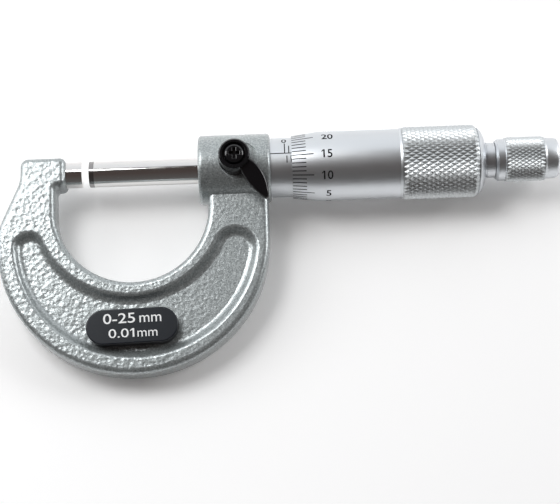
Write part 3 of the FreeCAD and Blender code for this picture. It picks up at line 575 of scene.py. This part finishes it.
sleeve_marks = [line_along(DATUM_START_X, DATUM_END_X, DATUM, sleeve_radius)]
for half_millimetre in range(2 * MEASURING_RANGE + 1):
    x = ZERO_X + half_millimetre / 2
    if half_millimetre % 2:
        low, high = HALF_MARK
    elif half_millimetre % 10:
        low, high = WHOLE_MARK
    else:
        low, high = FIFTH_MARK
        place = (x + SLEEVE_NUMBER_SHIFT, DATUM + SLEEVE_NUMBER_REACH / SLEEVE_R)
        words = str(half_millimetre // 2)
        number = on_turned(words, SLEEVE_NUMBER_H, *place, sleeve_radius, stretch=1.05, bold=0.01)
        sleeve_marks.append(number)
    sleeve_marks.append(line_around(x, DATUM + low / SLEEVE_R, DATUM + high / SLEEVE_R, SLEEVE_R))
to_object("sleeve_scale", *joined(*sleeve_marks), INK, "bow", "satin_chrome")


# ---------------------------------------------------------------- label
LABEL_X, LABEL_Y, LABEL_TOP_Z = 11.9, -39.0, 5.48
LABEL_TURN = math.radians(1.4)
LETTER_HEIGHT = 0.05


def label_line(words, height, x, y, width, bold):
    """Raised letters stretched to a width, placed from the label's centre."""
    work = text_outline(words, height, bold=bold)
    xs = [v.co.x for v in work.verts]
    stretch = width / (max(xs) - min(xs))
    raised = bmesh.ops.extrude_face_region(work, geom=work.faces[:])
    for item in raised["geom"]:
        if isinstance(item, bmesh.types.BMVert):
            item.co.z += LETTER_HEIGHT
    work.verts.index_update()
    verts = []
    for v in work.verts:
        u, w = v.co.x * stretch + x, v.co.y + y
        across = u * math.cos(LABEL_TURN) - w * math.sin(LABEL_TURN)
        up = u * math.sin(LABEL_TURN) + w * math.cos(LABEL_TURN)
        verts.append((LABEL_X + across, LABEL_Y + up, LABEL_TOP_Z + v.co.z))
    faces = [tuple(v.index for v in face.verts) for face in work.faces]
    work.free()
    return verts, faces


letters = joined(
    label_line("0-25", 2.48, -2.9, 1.95, 7.45, 0.006),
    label_line("mm", 2.6, 4.4, 1.95, 5.1, 0.002),
    label_line("0.01", 2.2, -2.45, -1.6, 6.0, 0.002),
    label_line("mm", 2.3, 3.6, -1.6, 4.65, -0.002),
)
label_text = to_object("label_text", *letters, WHITE, "bow", "label_black")
fix_normals(label_text)

# ---------------------------------------------------------------- stage, light and camera
PAPER = new_material("paper", (0.95, 0.95, 0.95), roughness=0.9, specular=0.1)
shader_of(PAPER).inputs["Emission Color"].default_value = (1, 1, 1, 1)
shader_of(PAPER).inputs["Emission Strength"].default_value = 0.12

# the tool rests on its grip and on the back of the bow, so the floor leans across the measuring axis
FRAME_HALF_T = 4.0
BOW_REACH = 49.0
FLOOR_HALF = 900 * MM
FLOOR_CENTRE = Vector((45.0, 0, -8.82)) * MM
floor_tilt = math.atan2(GRIP_R - FRAME_HALF_T, BOW_REACH)
floor_corners = [(x * FLOOR_HALF, y * FLOOR_HALF) for x, y in ((-1, -1), (1, -1), (1, 1), (-1, 1))]
floor_mesh = bpy.data.meshes.new("floor")
floor_mesh.from_pydata([(x, y, 0) for x, y in floor_corners], [], [(0, 1, 2, 3)])
floor_mesh.materials.append(PAPER)
floor = bpy.data.objects.new("floor", floor_mesh)
floor.matrix_world = Matrix.Translation(FLOOR_CENTRE) @ Matrix.Rotation(-floor_tilt, 4, "X")
bpy.context.scene.collection.objects.link(floor)


def softbox(name, place, target, side, watts):
    """Square lamp that faces a target; places and the side are in millimetres."""
    lamp = bpy.data.lights.new(name, "AREA")
    lamp.shape = "RECTANGLE"
    lamp.size = lamp.size_y = side * MM
    lamp.energy = watts
    holder = bpy.data.objects.new(name, lamp)
    position = Vector(place) * MM
    holder.location = position
    holder.rotation_euler = (Vector(target) * MM - position).to_track_quat("-Z", "Y").to_euler()
    bpy.context.scene.collection.objects.link(holder)


softbox("softbox_left", (-150, 160, 380), (20, -20, 0), 200, 1.0)
softbox("side_left", (-520, 200, 330), (40, -10, 0), 300, 1.2)
softbox("side_right", (620, 200, 330), (50, -10, 0), 300, 1.5)

# studio sky: its colour follows the angle from the zenith towards +Y in degrees,
# dark on the near side and overhead, bright on the far side
world = bpy.data.worlds.new("studio")
bpy.context.scene.world = world
world.use_nodes = True
tree = world.node_tree
direction = tree.nodes.new("ShaderNodeTexCoord")
split = tree.nodes.new("ShaderNodeSeparateXYZ")
angle = tree.nodes.new("ShaderNodeMath")
angle.operation = "ARCTAN2"
unit = tree.nodes.new("ShaderNodeMapRange")
unit.inputs["From Min"].default_value = -math.pi
unit.inputs["From Max"].default_value = math.pi
shade = tree.nodes.new("ShaderNodeValToRGB")
tree.links.new(direction.outputs["Generated"], split.inputs["Vector"])
tree.links.new(split.outputs["Y"], angle.inputs[0])
tree.links.new(split.outputs["Z"], angle.inputs[1])
tree.links.new(angle.outputs["Value"], unit.inputs["Value"])
tree.links.new(unit.outputs["Result"], shade.inputs["Fac"])
sky = [
    (-180, (0.2, 0.2, 0.2)),
    (-95, (0.2, 0.2, 0.2)),
    (-72, (0.1, 0.097, 0.095)),
    (-20, (0.075, 0.06, 0.056)),
    (18, (0.06, 0.048, 0.044)),
    (27, (0.02, 0.02, 0.02)),
    (36, (0.88, 0.9, 0.93)),
    (100, (1.08, 1.09, 1.1)),
]
elements = shade.color_ramp.elements
while len(elements) < len(sky):
    elements.new(0.5)
for element, (degrees, color) in zip(elements, sky):
    element.position = (degrees + 180) / 360
    element.color = (*color, 1)
tree.links.new(shade.outputs["Color"], tree.nodes["Background"].inputs["Color"])
tree.nodes["Background"].inputs["Strength"].default_value = 1.0

# the camera leans back from straight above and is rolled a little; its aim and distance are in millimetres
CAMERA_AIM = Vector((47.033, -21.113, 0))
CAMERA_DISTANCE = 384.536
CAMERA_LEAN = math.radians(15)
CAMERA_ROLL = math.radians(2.07)
camera_data = bpy.data.cameras.new("camera")
camera_data.sensor_fit = "HORIZONTAL"
camera_data.sensor_width = 36.0
camera_data.lens = 103.4
camera_data.clip_start = 0.01
camera = bpy.data.objects.new("camera", camera_data)
backwards = Vector((0, -math.sin(CAMERA_LEAN), math.cos(CAMERA_LEAN)))
lean = Matrix.Rotation(CAMERA_LEAN, 4, "X")
roll = Matrix.Rotation(-CAMERA_ROLL, 4, "Z")
camera.matrix_world = Matrix.Translation((CAMERA_AIM + CAMERA_DISTANCE * backwards) * MM) @ lean @ roll
bpy.context.scene.collection.objects.link(camera)
bpy.context.scene.camera = camera
bpy.context.scene.view_settings.view_transform = "Standard"
